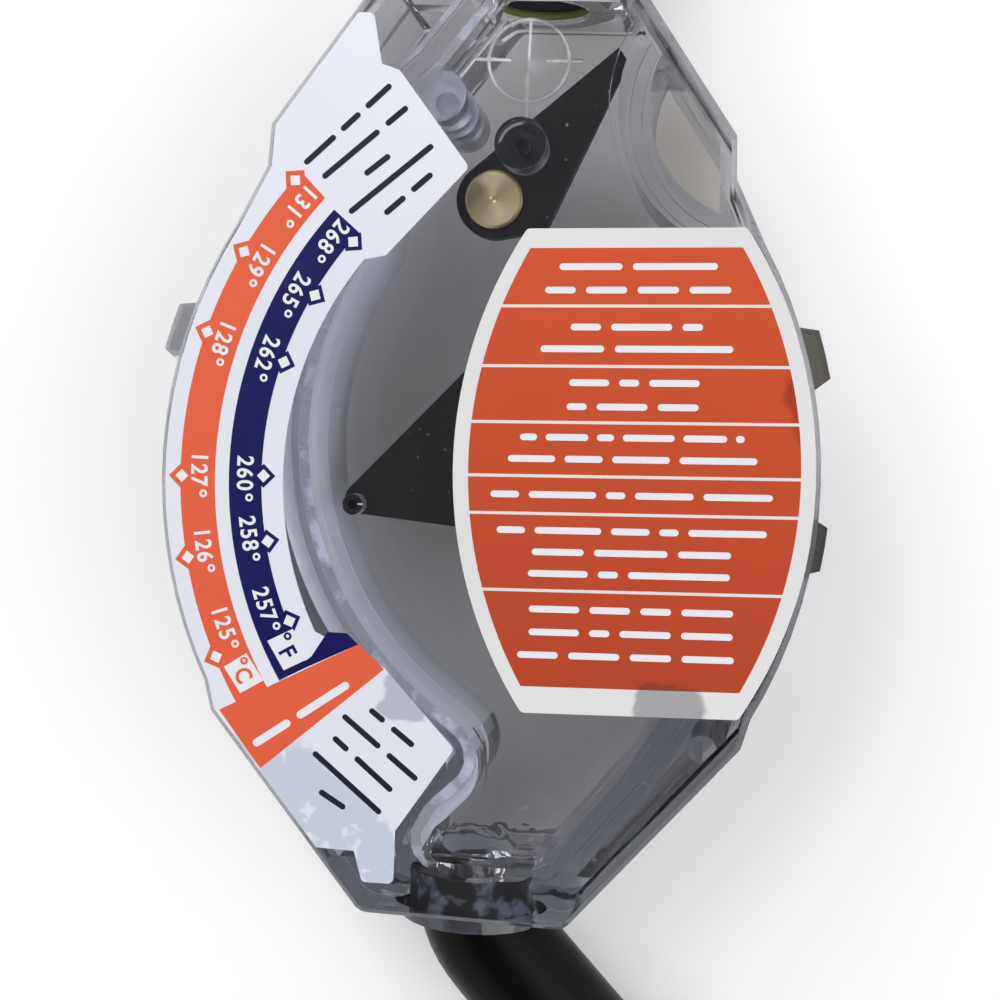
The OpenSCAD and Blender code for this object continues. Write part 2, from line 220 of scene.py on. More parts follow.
def lamps_through(material, tint):
    """Makes a surface let a tinted share of the lamps' light through, as clear or thin stuff does."""
    path = add_node(material.node_tree, "ShaderNodeLightPath")
    passing = add_node(material.node_tree, "ShaderNodeBsdfTransparent", {"Color": tint})
    surface_mix(material, path.outputs["Is Shadow Ray"], passing)


plastic_ior, clouding = 1.49, 0.96
sink_outer, sink_inner, sink_share = 20 * MM, 12 * MM, 5
wave_strength, wave_high = 0.25, 0.4 * MM


def clear_plastic(name, tint, smooth=0.05, haze=0.2, clear=1.0, lamps=smoke_lamps):
    """Moulded clear plastic: slightly wavy, with handling haze, and it lets lamps through.

    It has sunk unevenly round the mouth. Less clear plastic scatters the rest of the light as a
    milky body would. A tint may also be made by a function from the material."""
    material = finish_material(name, smooth, IOR=plastic_ior, Transmission_Weight=clear)
    smudge = place_group(material, blotches, Scale=60, Detail=4, From=0.52, To=0.72)
    if callable(tint):
        feed(material, "Base Color", tint(material))
    else:
        painted(material, smudge, tint, tuple(clouding * c for c in tint))
    varied(material, "Roughness", smudge, smooth, haze)
    wave = place_group(material, grain, Scale=90, Detail=1)
    sinks = place_group(material, grain, Scale=200, Detail=1)
    near_mouth = place_group(material, spot, Centre=mouth_at, From=sink_outer, To=sink_inner)
    sunk = joined(material, "MULTIPLY", sinks, spread(material, near_mouth, 0, sink_share))
    bumped(material, joined(material, "ADD", wave, sunk), wave_strength, wave_high)
    lamps_through(material, lamps)
    return material


def rows_of(items, key):
    """A property of three parts of all of a mesh's faces or corners, as rows."""
    found = np.zeros(len(items) * 3)
    items.foreach_get(key, found)
    return found.reshape(-1, 3)


merge_gap = 2e-6
flat_turn, sharp_turn = math.radians(0.5), math.radians(30)


def blunted(node, name, body, edge, material, zones=()):
    """A merged copy of a rigid CAD node with blunt edges, which stands for it.

    Each zone is another material and a test of face centres and normals that take it."""
    mesh = nodes[node].data.copy()
    mesh.name = name
    work = bmesh.new()
    work.from_mesh(mesh)
    bmesh.ops.remove_doubles(work, verts=work.verts, dist=merge_gap)
    bmesh.ops.dissolve_limit(work, angle_limit=flat_turn, verts=work.verts, edges=work.edges)
    work.to_mesh(mesh)
    work.free()
    mesh.shade_smooth()
    mesh.set_sharp_from_angle(angle=sharp_turn)
    mesh.materials.clear()
    mesh.materials.append(material)
    middle, facing = rows_of(mesh.polygons, "center"), rows_of(mesh.polygons, "normal")
    slots = np.zeros(len(mesh.polygons), np.int32)
    for number, (other, test) in enumerate(zones, 1):
        mesh.materials.append(other)
        slots[test(middle, facing)] = number
    mesh.polygons.foreach_set("material_index", slots)
    piece = in_scene(name, mesh)
    bevel = piece.modifiers.new("blunt_edges", "BEVEL")
    bevel.width = edge
    bevel.segments = 2
    bevel.limit_method = "ANGLE"
    bevel.angle_limit = sharp_turn
    bevel.use_clamp_overlap = True
    flat = piece.modifiers.new("flat_faces", "WEIGHTED_NORMAL")
    flat.keep_sharp = True
    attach(piece, body)
    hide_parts(node)
    return piece


face_gap = 0.01 * MM


def face_ring(node, level):
    """Corners of the convex ring round a shell's outer face, which lies at a level."""
    points = rows_of(nodes[node].data.vertices, "co")
    at_level = np.abs(points[:, 2] - level) < face_gap
    flat = np.unique(np.round(points[at_level, :2], 7), axis=0)
    ring = flat[convex_hull_2d(flat.tolist())]
    after = np.roll(ring, -1, 0)
    area = np.sum(ring[:, 0] * after[:, 1] - after[:, 0] * ring[:, 1])
    return ring if area > 0 else ring[::-1]


def margin(middle, ring):
    """How far points lie inside a convex ring: the least of their distances to its sides."""
    along = np.roll(ring, -1, 0) - ring
    along /= np.linalg.norm(along, axis=1)[:, None]
    away = middle[:, None, :2] - ring[None]
    return (along[None, :, 0] * away[:, :, 1] - along[None, :, 1] * away[:, :, 0]).min(axis=1)


post_r = 3.6 * MM
guide_post, plumb_post = (-8.5 * MM, 51.5 * MM), (2.7 * MM, 45.4 * MM)
dial_wall_at, dial_wall_r = (20.6 * MM, 5.8 * MM), (43.4 * MM, 51.0 * MM)
rim_deep, lug_over, lug_x, lug_y = 2.9 * MM, 1.0 * MM, 40 * MM, 25 * MM
foot_y, floor_z, tongue_z = -53.5 * MM, 3 * MM, 15.3 * MM
upper_pocket, low_pocket, left_pocket_x = (22 * MM, 25 * MM), (15 * MM, -25 * MM), -15 * MM
funnel_x, funnel_from_y, funnel_middle_y = 9 * MM, 26 * MM, 2 * MM
dial_land_x, left_land_x = (-16 * MM, -10 * MM), -17 * MM
land_gap, weld_gap, socket_gap = 0.2 * MM, 0.05 * MM, 1.0 * MM
upright_below, level_above, socket_facing = 0.7, 0.9, 0.5
sockets = [(0, -64 * MM, -55.8 * MM, 8.65 * MM), (3.5 * MM, 67.5 * MM, 77 * MM, 9.4 * MM)]
outer_ring = face_ring("rear_shell", 0.0)


def upright(facing):
    """Faces that stand up."""
    return np.abs(facing[:, 2]) < upright_below


def level_up(facing):
    """Level faces that face up."""
    return facing[:, 2] > level_above


def level_both(facing):
    """Level faces that face up or down."""
    return np.abs(facing[:, 2]) > level_above


def at_posts(middle, facing):
    """Faces of the posts that hold the guide pin and the plumb's axle."""
    away = middle[:, None, :2] - np.array([guide_post, plumb_post])[None]
    return np.linalg.norm(away, axis=2).min(axis=1) < post_r


def at_right_lugs(middle, facing):
    """Faces of the lugs on the right, which stand out past the rim."""
    outside = margin(middle, outer_ring) < -lug_over
    return outside & (middle[:, 0] > lug_x) & (np.abs(middle[:, 1]) < lug_y)


def at_rim(middle, facing):
    """Upright faces of the wall round the outside."""
    return upright(facing) & (margin(middle, outer_ring) < rim_deep)


def at_foot(middle, facing):
    """Walls and ledges round the mouth at the bottom."""
    return middle[:, 1] < foot_y


def at_dial_wall(middle, facing):
    """Upright faces of the chamber's long curved wall beside the dial."""
    away = np.linalg.norm(middle[:, :2] - dial_wall_at, axis=1)
    inside = (away > dial_wall_r[0]) & (away < dial_wall_r[1])
    return inside & upright(facing) & (middle[:, 0] < 0)


def at_sockets(middle, facing):
    """Faces of the two round sockets that rubber is pressed against: those facing their axis."""
    found = np.zeros(len(middle), bool)
    for x, low, high, r in sockets:
        away = middle[:, [0, 2]] - (x, seam_z)
        far = np.linalg.norm(away, axis=1)
        inward = np.sum(away * facing[:, [0, 2]], axis=1) < -socket_facing * far
        along = (middle[:, 1] > low) & (middle[:, 1] < high)
        found |= inward & along & (np.abs(far - r) < socket_gap)
    return found


def on_floor(middle, facing):
    """Inner face of the rear wall, which makes the floor of the chamber and the pockets."""
    return level_up(facing) & (middle[:, 2] < floor_z)


def at_upper_pocket(middle, facing):
    """Floor of the pocket at the upper right, outside the chamber."""
    beyond = (middle[:, 0] > upper_pocket[0]) & (middle[:, 1] > upper_pocket[1])
    return on_floor(middle, facing) & beyond


def at_low_pockets(middle, facing):
    """Floors of the pockets at the lower right and behind the dial label."""
    right = (middle[:, 0] > low_pocket[0]) & (middle[:, 1] < low_pocket[1])
    return on_floor(middle, facing) & (right | (middle[:, 0] < left_pocket_x))


def at_funnel_wall(middle, facing):
    """Upright faces of the chamber's wall at the lower right and along the throat."""
    ends = np.abs(middle[:, 1] - funnel_middle_y) > funnel_from_y
    inside = (middle[:, 0] > funnel_x) & (margin(middle, outer_ring) > rim_deep)
    return upright(facing) & ends & inside


def at_dial_land(middle, facing):
    """Land of the dial wall where the two halves meet, milky as the wall: a painted reflection."""
    beside = (middle[:, 0] > dial_land_x[0]) & (middle[:, 0] < dial_land_x[1])
    return level_both(facing) & beside & (np.abs(middle[:, 2] - seam_z) < land_gap)


def at_outer_land(middle, facing):
    """Level faces where the halves meet, along the rim and the wall at the right."""
    at_seam = (middle[:, 2] > seam_z - land_gap) & (middle[:, 2] < tongue_z + land_gap)
    outer = (middle[:, 0] > funnel_x) | (middle[:, 0] < left_land_x)
    return level_both(facing) & at_seam & outer


def at_weld(middle, facing):
    """Top of the weld tongue, whitened where it melted, with streaks of painted highlight."""
    return level_up(facing) & (np.abs(middle[:, 2] - tongue_z) < weld_gap)


low_right_way = (0.6, -0.8, 0)


def floor_tint(material):
    """Colour of the chamber's floor: darker below, clearer towards the neck."""
    high = place_group(material, past_line, Way=(0, 1, 0), From=30 * MM, To=62 * MM)
    return blended(material, high, (0.37, 0.365, 0.36), (1.0, 0.99, 0.95))


def seam_tint(material):
    """Colour of the seam round the outside: clear, darker at the lower right and the foot."""
    low_right = place_group(material, past_line, Way=low_right_way, From=24 * MM, To=34 * MM)
    low = place_group(material, past_line, Way=(0, -1, 0), From=50 * MM, To=58 * MM)
    return blended(material, joined(material, "ADD", low_right, low), (0.82, 0.82, 0.84),
                   (0.35, 0.365, 0.405))


def rim_tint(material):
    """Colour of the outer wall: nearly clear, a little darker at the lower right."""
    low_right = place_group(material, past_line, Way=low_right_way, From=40 * MM, To=50 * MM)
    return blended(material, low_right, (0.58, 0.59, 0.61), (0.24, 0.235, 0.215))


rear_plastic = clear_plastic("rear_clear_plastic", smoke, smooth=0.03, haze=0.16)
floor_plastic = clear_plastic("floor_plastic", floor_tint, smooth=0.03, haze=0.16)
post_plastic = clear_plastic("post_plastic", (0.50, 0.53, 0.64), smooth=0.22, haze=0.34)
lug_plastic = clear_plastic("lug_plastic", (0.045, 0.040, 0.032), smooth=0.08, haze=0.25, clear=0.7)
rim_plastic = clear_plastic("rim_plastic", rim_tint, clear=0.88)
foot_plastic = clear_plastic("foot_plastic", (0.30, 0.32, 0.37), clear=0.85)
# The dial wall's milky lilac-white is painted light: it stands in for the reflection of the dial
# label's white back.
wall_reflection_plastic = clear_plastic("wall_reflection_plastic", (0.92, 0.95, 1.0), clear=0.28)
seam_plastic = clear_plastic("seam_plastic", seam_tint)
funnel_plastic = clear_plastic("funnel_plastic", (0.34, 0.36, 0.43), clear=0.8)
warm_plastic = clear_plastic("warm_plastic", (0.97, 0.91, 0.77), clear=0.70)
cold_plastic = clear_plastic("cold_plastic", (0.15, 0.155, 0.18))
pressed = finish_material("pressed_rubber", 0.5, Specular_IOR_Level=0.2)
pressed_patch = place_group(pressed, blotches, Scale=330, Detail=4, From=0.45, To=0.64)
painted(pressed, pressed_patch, (0.009, 0.009, 0.010), (0.095, 0.107, 0.135))
# The weld is whitened where it melted; its white streaks, stronger on the left, also stand in for
# highlights along the wall: partly painted highlight.
weld = finish_material("melted_weld_and_highlight", 0.45)
weld_whitening_and_highlight = place_group(weld, blotches, Scale=190, Detail=4, From=0.42, To=0.66)
painted(weld, weld_whitening_and_highlight, (0.42, 0.44, 0.54), (0.80, 0.81, 0.88))
weld_left_highlight = place_group(weld, past_line, Way=(-1, 0, 0), From=-10 * MM, To=6 * MM)
feed(weld, "Alpha", joined(weld, "MULTIPLY", spread(weld, weld_whitening_and_highlight, 0.10, 0.90),
                           spread(weld, weld_left_highlight, 0.15, 1)))
wall_zones = [(rim_plastic, at_rim), (foot_plastic, at_foot), (wall_reflection_plastic, at_dial_wall),
              (post_plastic, at_posts), (lug_plastic, at_right_lugs), (pressed, at_sockets)]
floor_zones = [(floor_plastic, on_floor), (warm_plastic, at_upper_pocket),
               (cold_plastic, at_low_pockets)]
funnel_zone, weld_zone = (funnel_plastic, at_funnel_wall), (weld, at_weld)
land_zones = [(wall_reflection_plastic, at_dial_land), (seam_plastic, at_outer_land)]
rear = blunted("rear_shell", "rear_half", "body", shell_edge, rear_plastic,
               wall_zones + floor_zones + [funnel_zone, weld_zone] + land_zones)

# Axles
# Two drawn steel pins, pressed in the posts of both halves, that the pointers swing on.
steel = finish_material("drawn_steel", 0.3, Metallic=1.0)
steel_marks = place_group(steel, grain, Scale=2500, Detail=4)
painted(steel, steel_marks, (0.10, 0.10, 0.11), (0.18, 0.18, 0.20))
varied(steel, "Roughness", steel_marks, 0.30, 0.50)


def coated(node, material):
    """Gives a CAD node's own mesh a material."""
    nodes[node].data.materials.clear()
    nodes[node].data.materials.append(material)


coated("float_axle", steel)
coated("plumb_axle", steel)

# Float pointer
# A black moulded wedge that swings with the strength of the coolant, with small air bubbles
# and specks on it. A short metal tube in its tip trims its weight.
black_plastic = finish_material("black_moulded_plastic", 0.4, Specular_IOR_Level=0.25)
black_grain = place_group(black_plastic, grain, Scale=1200, Detail=5)
black_specks = place_group(black_plastic, blotches, Scale=1500, Detail=0, From=0.80, To=0.84)
black_base = blended(black_plastic, black_grain, (0.004, 0.004, 0.005), (0.009, 0.009, 0.010))
painted(black_plastic, black_specks, black_base, (0.16, 0.16, 0.17))
varied(black_plastic, "Roughness", black_grain, 0.30, 0.50)
bumped(black_plastic, black_grain, strength=0.25, distance=0.05 * MM)
vane_edge, trim_edge = 0.35 * MM, 0.06 * MM
vane = blunted("float_pointer", "float_vane", "float", vane_edge, black_plastic)
trim_low, trim_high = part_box("float_trim_pin")
trim_axis = (trim_low + trim_high) / 2
trim_gap, bore_floor_r = 0.01 * MM, 0.3 * MM


def at_bore(middle, facing):
    """Faces of the trim tube's bore, painted black for the shade in it: those facing its axis, and its
    floor.
    """
    away = middle[:, :2] - trim_axis.xy
    inward = np.sum(away * facing[:, :2], axis=1) < -trim_gap
    return inward | (level_up(facing) & (np.linalg.norm(away, axis=1) < bore_floor_r))


bright = finish_material("bright_steel", 0.5, Metallic=1.0)
bright_marks = place_group(bright, grain, Scale=2500, Detail=4)
painted(bright, bright_marks, (0.62, 0.62, 0.64), (0.84, 0.84, 0.86))
varied(bright, "Roughness", bright_marks, 0.40, 0.60)
trim = blunted("float_trim_pin", "float_trim_tube", "float", trim_edge, bright,
               [(black_plastic, at_bore)])

# Plumb pointer
# A black blade that hangs from its own pivot under the target mark, and a turned brass weight
# pressed in its tail.
blade_edge = 0.3 * MM
blade = blunted("plumb_pointer", "plumb_blade", "plumb", blade_edge, black_plastic)
weight_low, weight_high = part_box("plumb_weight")
weight_axis = (weight_low + weight_high) / 2
double_gap, turned_sharp = 1e-7, math.radians(25)


def mended(name, points, faces, material):
    """A mesh from points and faces, with its doubles merged and its faces turned outwards."""
    mesh = bpy.data.meshes.new(name)
    mesh.from_pydata(points.tolist(), [], faces)
    work = bmesh.new()
    work.from_mesh(mesh)
    bmesh.ops.remove_doubles(work, verts=work.verts, dist=double_gap)
    bmesh.ops.dissolve_degenerate(work, edges=work.edges, dist=double_gap)
    bmesh.ops.recalc_face_normals(work, faces=work.faces)
    work.to_mesh(mesh)
    work.free()
    mesh.materials.append(material)
    return mesh


def wrapped_grid(row_count, column_count):
    """Four corners of each quad of a grid that closes on itself both ways, as rows and columns."""
    row, column = np.meshgrid(np.arange(row_count), np.arange(column_count), indexing="ij")
    row, column = row.reshape(-1, 1), column.reshape(-1, 1)
    return row + [0, 0, 1, 1], column + [0, 1, 1, 0]


def turned(name, axis_at, profile, sides, material, along="Z"):
    """A closed profile of (radius, height) points turned about an axis along Z or Y."""
    radius, height = np.array(profile, float).T
    turn = np.linspace(0, 2 * math.pi, sides, endpoint=False)
    across = radius[:, None] * np.cos(turn)
    up = radius[:, None] * np.sin(turn)
    level = np.broadcast_to(height[:, None], across.shape)
    order = (across, up, level) if along == "Z" else (up, level, across)
    points = np.stack(order, -1).reshape(-1, 3) + np.array(axis_at)
    row, column = wrapped_grid(len(profile), sides)
    faces = row % len(profile) * sides + column % sides
    mesh = mended(name, points, faces.tolist(), material)
    mesh.shade_smooth()
    mesh.set_sharp_from_angle(angle=turned_sharp)
    return in_scene(name, mesh)


brass = finish_material("turned_brass", 0.3, Metallic=1.0)
brass_place = add_node(brass.node_tree, "ShaderNodeTexCoord")
brass_centre = add_node(brass.node_tree, "ShaderNodeMapping",
                        {"Vector": brass_place.outputs["Object"], "Location": -weight_axis})
brass_rings = add_node(
    brass.node_tree, "ShaderNodeTexWave",
    {"Vector": brass_centre.outputs["Vector"], "Scale": 1300, "Distortion": 0.6},
    wave_type="RINGS", rings_direction="Z")
# Lighter and darker wedges round the weight are a painted sheen, the highlight that turned brass
# shows.
brass_angle = add_node(brass.node_tree, "ShaderNodeTexGradient",
                       {"Vector": brass_centre.outputs["Vector"]}, gradient_type="RADIAL")
brass_sheen_sweep = add_node(brass.node_tree, "ShaderNodeTexWave",
                       {"Vector": brass_angle.outputs["Fac"], "Scale": 0.63, "Distortion": 1.0})
brass_tarnish = place_group(brass, blotches, Scale=350, Detail=4, From=0.4, To=0.7)
brass_painted_sheen = blended(brass, brass_sheen_sweep.outputs["Fac"], (0.52, 0.42, 0.24), (0.70, 0.58, 0.34))
painted(brass, spread(brass, brass_tarnish, 0.0, 0.5), brass_painted_sheen, (0.36, 0.32, 0.24))
varied(brass, "Roughness", brass_tarnish, 0.28, 0.48)
bumped(brass, brass_rings.outputs["Fac"], strength=0.35, distance=0.03 * MM)
weight_r = (weight_high.x - weight_low.x) / 2
weight_h = (weight_high.z - weight_low.z) / 2
weight_edge = 0.35 * MM
pip_r, pip_deep = 0.55 * MM, 0.35 * MM
weight_sides = 96
weight = turned("plumb_weight_turned", weight_axis, [
    (0, -weight_h), (weight_r - weight_edge, -weight_h), (weight_r, -weight_h + weight_edge),
    (weight_r, weight_h - weight_edge), (weight_r - weight_edge, weight_h),
    (pip_r, weight_h), (0, weight_h - pip_deep)], weight_sides, brass)
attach(weight, "plumb")
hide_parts("plumb_weight")

# Front shell
# The upper clear half, welded on over the pointers: flat dial face with a moulded target mark and
# the ground end of the guide post, the other half of the chamber wall, axle posts and side lugs.
clear = (0.92, 0.925, 0.955)
clear_lamps = (0.85, 0.85, 0.87)
front_plastic = clear_plastic("front_clear_plastic", clear, smooth=0.02, haze=0.08, lamps=clear_lamps)
front = blunted("front_shell", "front_half", "body", shell_edge, front_plastic,
                wall_zones + [funnel_zone] + land_zones)


def strip(edge_a, edge_b, low, high):
    """A thin closed slab between two lines of as many points each, in millimetres.

    A slab is its points, its faces of four corners and its faces of three."""
    a, b = np.array(edge_a, float), np.array(edge_b, float)
    n = len(a)
    loop = np.concatenate([a, b[::-1]])
    turn = np.roll(loop, -1, 0)
    if np.sum(loop[:, 0] * turn[:, 1] - turn[:, 0] * loop[:, 1]) < 0:
        a, b = b, a
    flat = np.concatenate([a, b])
    points = np.concatenate([np.column_stack([flat * MM, np.full(2 * n, z)]) for z in (high, low)])
    i = np.arange(n - 1)
    top = np.stack([i, i + 1, n + i + 1, n + i], -1)
    under = top[:, ::-1] + 2 * n
    side_a = np.stack([i + 2 * n, i + 1 + 2 * n, i + 1, i], -1)
    side_b = np.stack([i + n, i + 1 + n, i + 1 + 3 * n, i + 3 * n], -1)
    ends = np.array([[0, n, 3 * n, 2 * n], [n - 1, 3 * n - 1, 4 * n - 1, 2 * n - 1]])
    return points, np.concatenate([top, under, side_a, side_b, ends]), np.zeros((0, 3), int)


def ring_slab(centre, outer, inner, low, high, steps=25):
    """A flat ring: a strip between two circles."""
    turn = np.linspace(0, 2 * math.pi, steps)
    circle = np.stack([np.cos(turn), np.sin(turn)], -1)
    return strip(np.array(centre) + outer * circle, np.array(centre) + inner * circle, low, high)


def printed(name, slabs, material):
    """Slabs of one colour as one piece on the body."""
    points, quads, triangles = zip(*slabs)
    starts = np.cumsum([0] + [len(p) for p in points])
    faces = sum([np.concatenate([f + start for f, start in zip(kind, starts)]).tolist()
                 for kind in (quads, triangles)], [])
    piece = in_scene(name, mended(name, np.concatenate(points), faces, material))
    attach(piece, "body")


target_at, target_r, target_line = np.array([3.5, 56.1]), 5.4, 0.34
target_low, target_high = 27.72 * MM, 27.92 * MM
target_up, target_down, target_arm = 5.3, 7.6, (2.4, 7.1)
# The target mark's whitish lines are a painted highlight: the light that its moulded ridges catch.
target_highlight = finish_material("moulded_line_highlight", 0.6)
target_highlight_uneven = place_group(target_highlight, blotches, Scale=150, Detail=3, From=0.40, To=0.72)
painted(target_highlight, target_highlight_uneven, (0.50, 0.52, 0.54), (0.80, 0.82, 0.84))
varied(target_highlight, "Alpha", target_highlight_uneven, 0.10, 0.62)


def bar(x0, y0, x1, y1):
    """Edges of an upright oblong on the target mark, from its centre."""
    low, high = target_at + (x0, y0), target_at + (x1, y1)
    return ([low, (high[0], low[1])], [(low[0], high[1]), high])


half_line = target_line / 2
target_bars = [bar(-half_line, -target_down, half_line, target_up),
               bar(-target_arm[1], -half_line, -target_arm[0], half_line),
               bar(target_arm[0], -half_line, target_arm[1], half_line)]
printed("target_mark", [ring_slab(target_at, target_r + half_line, target_r - half_line,
                                  target_low, target_high, steps=73)]
        + [strip(*edges, target_low, target_high) for edges in target_bars], target_highlight)
end_at, end_r = np.array(guide_post) / MM, post_r / MM
end_low, end_high, end_steps = 27.99 * MM, 28.012 * MM, 33
end_turn = np.linspace(0, math.pi, end_steps)
end_edge = np.stack([-np.cos(end_turn), np.sin(end_turn)], -1) * end_r
ground = finish_material("ground_post_end", 0.35)
ground_uneven = place_group(ground, blotches, Scale=220, Detail=3, From=0.40, To=0.70)
painted(ground, ground_uneven, (0.16, 0.175, 0.205), (0.32, 0.34, 0.38))
varied(ground, "Alpha", ground_uneven, 0.30, 0.48)
printed("guide_post_end", [strip(end_at + end_edge, end_at + end_edge * [1, -1], end_low, end_high)],
        ground)

# Dial label
# A white self-adhesive film on the dial face. Two scales are printed along its curve, with the
# temperatures at which the coolant boils, and patches of it have lifted along its tail.
label_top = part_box("dial_label")[1].z
ink_t = 0.05 * MM
pivot = np.array([19.5, 0.0])
tail_way, damp_at = (-0.670, -0.742, 0), (-9.2 * MM, -30.2 * MM, label_top)
film = finish_material("label_film", 0.32)
film_cloud = place_group(film, grain, Scale=30, Detail=2)
film_white = blended(film, film_cloud, (0.74, 0.77, 0.86), (0.86, 0.88, 0.94))
film_lifted = joined(
    film, "MULTIPLY",
    place_group(film, past_line, Way=tail_way, From=45.4 * MM, To=46.2 * MM),
    place_group(film, past_line, Way=(0, -1, 0), From=39 * MM, To=42 * MM),
    spread(film, place_group(film, blotches, Scale=260, Detail=3, From=0.56, To=0.60), 1.0, 0.2))
film_damp = place_group(film, spot, Centre=damp_at, From=7.2 * MM, To=6.4 * MM)
film_tail = blended(film, film_lifted, film_white, (0.60, 0.65, 0.75))
painted(film, film_damp, film_tail, (0.50, 0.52, 0.60))
varied(film, "Roughness", film_cloud, 0.26, 0.40)
film_lamps, ink_lamps = (0.62, 0.63, 0.68), (0.75, 0.75, 0.78)
lamps_through(film, film_lamps)
coated("dial_label", film)


def ink(name, colour, other):
    """Screen-printed ink: a slightly uneven colour, which lets a share of the lamps through."""
    material = finish_material(name, 0.38, Specular_IOR_Level=0.2)
    uneven = place_group(material, grain, Scale=160, Detail=5)
    painted(material, uneven, colour, other)
    varied(material, "Roughness", uneven, 0.30, 0.46)
    lamps_through(material, ink_lamps)
    return material


def polar(radius, degrees):
    """Points in millimetres on the dial, from radius and angle about the float's pivot."""
    a = np.radians(degrees)
    return pivot + np.stack([radius * np.cos(a), radius * np.sin(a)], -1)


def diamond(radius, degrees, half):
    """Edges of a square on its corner, its diagonal along the radius."""
    centre = polar(radius, degrees)
    out = np.array([math.cos(math.radians(degrees)), math.sin(math.radians(degrees))])
    side = np.array([-out[1], out[0]])
    ends = [centre - half * out, centre + half * out]
    return ([ends[0], centre + half * side, ends[1]], [ends[0], centre - half * side, ends[1]])


def quad(corners):
    """Edges of a four-cornered patch, corners given round it."""
    return ([corners[0], corners[1]], [corners[3], corners[2]])


ink_low, ink_high = label_top - ink_t / 2, label_top + ink_t
under_ink = ink_high - ink_t / 4
over_ink = ink_high + ink_t / 4
mark_low, mark_high = ink_high - ink_t / 2, label_top + 2 * ink_t
coral = ink("coral_ink", (0.83, 0.135, 0.062), (0.76, 0.115, 0.05))
navy = ink("navy_ink", (0.0045, 0.0055, 0.085), (0.0075, 0.009, 0.105))
white = ink("white_ink", (0.80, 0.82, 0.88), (0.86, 0.87, 0.91))
black = ink("black_ink", (0.012, 0.013, 0.020), (0.022, 0.023, 0.032))
coral_marks = {131: 140.2, 129: 151.4, 128: 162.7, 127: 181.6, 126: 192.2, 125: 205.6}
navy_marks = {268: 141.1, 265: 151.4, 262: 163.0, 260: 181.3, 258: 191.7, 257: 204.8}
coral_mark_r, navy_mark_r = 61.3, 49.7
coral_mark_half, navy_mark_half, mark_white_half = 1.85, 1.65, 0.92
coral_band = (61.5, 138.9, 216.5), (56.6, 139.2, 216.5)
navy_band = (54.6, 139.5, 212.3), (50.0, 139.4, 212.3)
coral_foot = [(-35.0, -33.8), (-15.8, -23.4), (-12.1, -26.6), (-28.8, -41.5)]
navy_foot = ([(-26.1, -28.7), (-22.3, -25.5), (-20.2, -22.0), (-17.5, -22.0)],
             [(-26.0, -28.75), (-23.0, -27.1), (-19.5, -25.3), (-15.9, -23.45)])


def arc_edges(arcs, steps=65):
    """Edges of a band between two arcs, each given by its radius and the angles of its ends."""
    return [polar(r, np.linspace(start, end, steps)) for r, start, end in arcs]


coral_slabs = [strip(*arc_edges(coral_band), ink_low, ink_high),
               strip(*quad(coral_foot), ink_low, over_ink)]
coral_slabs += [strip(*diamond(coral_mark_r, a, coral_mark_half), ink_low, under_ink)
                for a in coral_marks.values()]
navy_slabs = [strip(*arc_edges(navy_band), ink_low, ink_high),
              strip(*navy_foot, ink_low, under_ink)]
navy_slabs += [strip(*diamond(navy_mark_r, a, navy_mark_half), ink_low, under_ink)
               for a in navy_marks.values()]
white_slabs = [strip(*diamond(r, a, mark_white_half), mark_low, mark_high)
               for r, marks in ((coral_mark_r, coral_marks), (navy_mark_r, navy_marks))
               for a in marks.values()]
celsius_box = [(-34.6, -27.8), (-31.5, -25.7), (-28.9, -29.3), (-32.1, -31.3)]
fahrenheit_box = [(-28.6, -23.8), (-25.1, -21.9), (-22.6, -25.8), (-26.1, -27.7)]
white_slabs += [strip(*quad(b), mark_low, mark_high)
                for b in (celsius_box, fahrenheit_box)]
sign_bolder = 0.02


def glyph(sign):
    """Corners and triangles of one sign, one unit high, standing on the X axis and centred on it."""
    curve = bpy.data.curves.new("sign", "FONT")
    curve.body = sign
    curve.offset = sign_bolder
    holder = in_scene("sign", curve)
    bpy.context.view_layer.update()
    mesh = bpy.data.meshes.new_from_object(holder)
    co = rows_of(mesh.vertices, "co")[:, :2]
    mesh.calc_loop_triangles()
    triangles = rows_of(mesh.loop_triangles, "vertices").astype(int)
    low, high = co.min(0), co.max(0)
    co = (co - [(low[0] + high[0]) / 2, low[1]]) / (high[1] - low[1])
    bpy.data.objects.remove(holder)
    bpy.data.curves.remove(curve)
    bpy.data.meshes.remove(mesh)
    return co, triangles


def sign_slab(shape, centre, along, tall, wide, low, high):
    """A sign as a slab: its outline scaled, turned to run along a direction, and thickened.

    A wall stands on each side of a triangle that no other triangle shares."""
    co, triangles = shape
    along = np.array(along) / np.linalg.norm(along)
    up = np.array([-along[1], along[0]])
    flat = np.array(centre) + wide * tall * co[:, :1] * along + tall * (co[:, 1:] - 0.5) * up
    n = len(flat)
    points = np.concatenate([np.column_stack([flat * MM, np.full(n, z)]) for z in (high, low)])
    sides = np.unique(triangles * n + np.roll(triangles, -1, 1))
    a, b = sides // n, sides % n
    alone = ~np.isin(sides, b * n + a)
    walls = np.stack([a, a + n, b + n, b], -1)[alone]
    return points, walls, np.concatenate([triangles, triangles[:, ::-1] + n])


